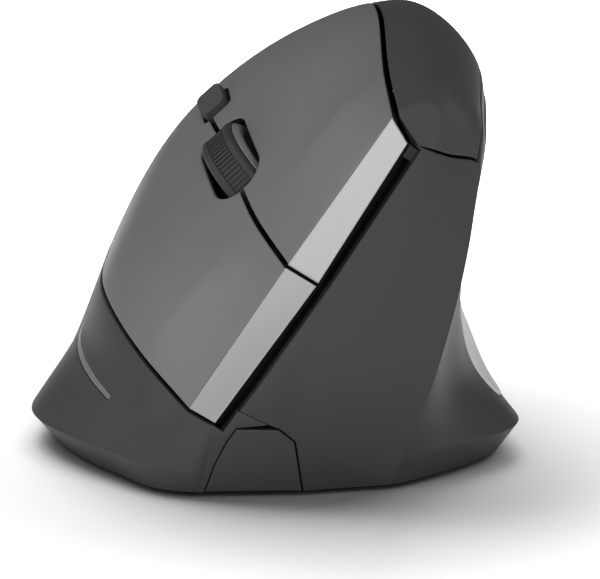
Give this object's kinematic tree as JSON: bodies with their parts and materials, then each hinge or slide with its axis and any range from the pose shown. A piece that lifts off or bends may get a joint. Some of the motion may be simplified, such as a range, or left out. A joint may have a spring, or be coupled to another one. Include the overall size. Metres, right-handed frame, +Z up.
{
  "type": "vertical ergonomic mouse",
  "caption": "Vertical ergonomic mouse for the right hand: tall slanted body with key plates, silver trims, scroll wheel, thumb keys and a base with a battery door and a stowed receiver.",
  "frame": {"origin": "on the table plane, under the middle of the body's bounding box", "axes": "+Z up from the table, -Y towards the nose (cable end of a wired mouse), +X towards the thumb side, -X towards the finger side"},
  "size_m": [0.0765, 0.1059, 0.0698],
  "materials": {
    "shell": "fine satin texture",
    "palm": "soft satin",
    "key": "soft satin",
    "silver": "silver lacquer",
    "rest": "soft grip",
    "small_key": "satin",
    "tyre": "matte",
    "hub": "gloss",
    "chassis": "plain moulding",
    "glide": "smooth low-friction pad",
    "board": "solder mask",
    "switch": "plain moulding",
    "lens": "clear",
    "cell": "printed can",
    "contact": "nickel plated",
    "receiver": "gloss",
    "knob": "satin",
    "link": "flat film"
  },
  "bodies": {
    "body": {"base_plate": "chassis", "glide_feet": "glide", "power_switch": "contact", "front_insert": "shell", "finger_skirt": "shell", "skirt_accent": "silver", "palm_shell": "palm", "thumb_shell": "shell", "thumb_rest": "rest", "top_cap": "shell", "wheel_sensors": "switch", "inner_frame": "chassis", "click_board": "board", "index_switch": "switch", "middle_switch": "switch", "wheel_switch": "switch", "dpi_switch": "switch", "side_board": "board", "side_switches": "switch", "main_board": "board", "sensor": "switch", "sensor_lens": "lens", "battery": "cell", "contact_spring": "contact", "contact_plate": "contact", "case_screws": "contact", "board_screws": "contact", "board_link": "link"},
    "index_key": {"index_button": "key", "index_trim": "silver", "index_lever": "chassis"},
    "middle_key": {"middle_button": "key", "middle_trim": "silver", "middle_lever": "chassis"},
    "wheel_cradle": {"wheel_carrier": "chassis"},
    "wheel": {"wheel_tyre": "tyre", "wheel_hub": "hub"},
    "speed_key": {"dpi_button": "small_key"},
    "forward_key": {"forward_button": "small_key"},
    "back_key": {"back_button": "small_key"},
    "power_slider": {"power_knob": "knob"},
    "door": {"battery_door": "chassis"},
    "receiver": {"usb_receiver": "receiver", "receiver_plug": "contact"}
  },
  "joints": [
    {"name": "index_press", "type": "hinge", "parent": "body", "child": "index_key", "pos_m": [-0.00077, 0.00565, 0.04664], "axis": [0.7161, -0.1835, 0.6735], "range_deg": [0, 0.8], "stiffness_Nm_per_rad": 1.5, "springref_deg": -0.34},
    {"name": "middle_press", "type": "hinge", "parent": "body", "child": "middle_key", "pos_m": [-0.00077, 0.00565, 0.04664], "axis": [0.7161, -0.1835, 0.6735], "range_deg": [0, 0.8], "stiffness_Nm_per_rad": 1.5, "springref_deg": -0.34},
    {"name": "wheel_press", "type": "slide", "parent": "body", "child": "wheel_cradle", "axis": [0.6971, 0.2385, -0.6762], "range_m": [0, 0.00072], "stiffness_N_per_m": 900, "springref_m": -0.0005},
    {"name": "wheel_spin", "type": "hinge", "parent": "wheel_cradle", "child": "wheel", "pos_m": [-0.00123, -0.01576, 0.04129], "axis": [0.7161, -0.1835, 0.6735], "continuous": true},
    {"name": "speed_press", "type": "slide", "parent": "body", "child": "speed_key", "axis": [0.6971, 0.2385, -0.6762], "range_m": [0, 0.0007], "stiffness_N_per_m": 400, "springref_m": -0.0005},
    {"name": "forward_press", "type": "slide", "parent": "body", "child": "forward_key", "axis": [-1, 0, 0], "range_m": [0, 0.0007], "stiffness_N_per_m": 400, "springref_m": -0.0005},
    {"name": "back_press", "type": "slide", "parent": "body", "child": "back_key", "axis": [-1, 0, 0], "range_m": [0, 0.0007], "stiffness_N_per_m": 400, "springref_m": -0.0005},
    {"name": "power_slide", "type": "slide", "parent": "body", "child": "power_slider", "axis": [0, 1, 0], "range_m": [0, 0.0024]},
    {"name": "door_swing", "type": "hinge", "parent": "body", "child": "door", "pos_m": [0.0139, -0.02215, 0.0017], "axis": [-1, 0, 0], "range_deg": [0, 75]},
    {"name": "receiver_slide", "type": "slide", "parent": "body", "child": "receiver", "axis": [0, 0, -1], "range_m": [0, 0.012]}
  ]
}
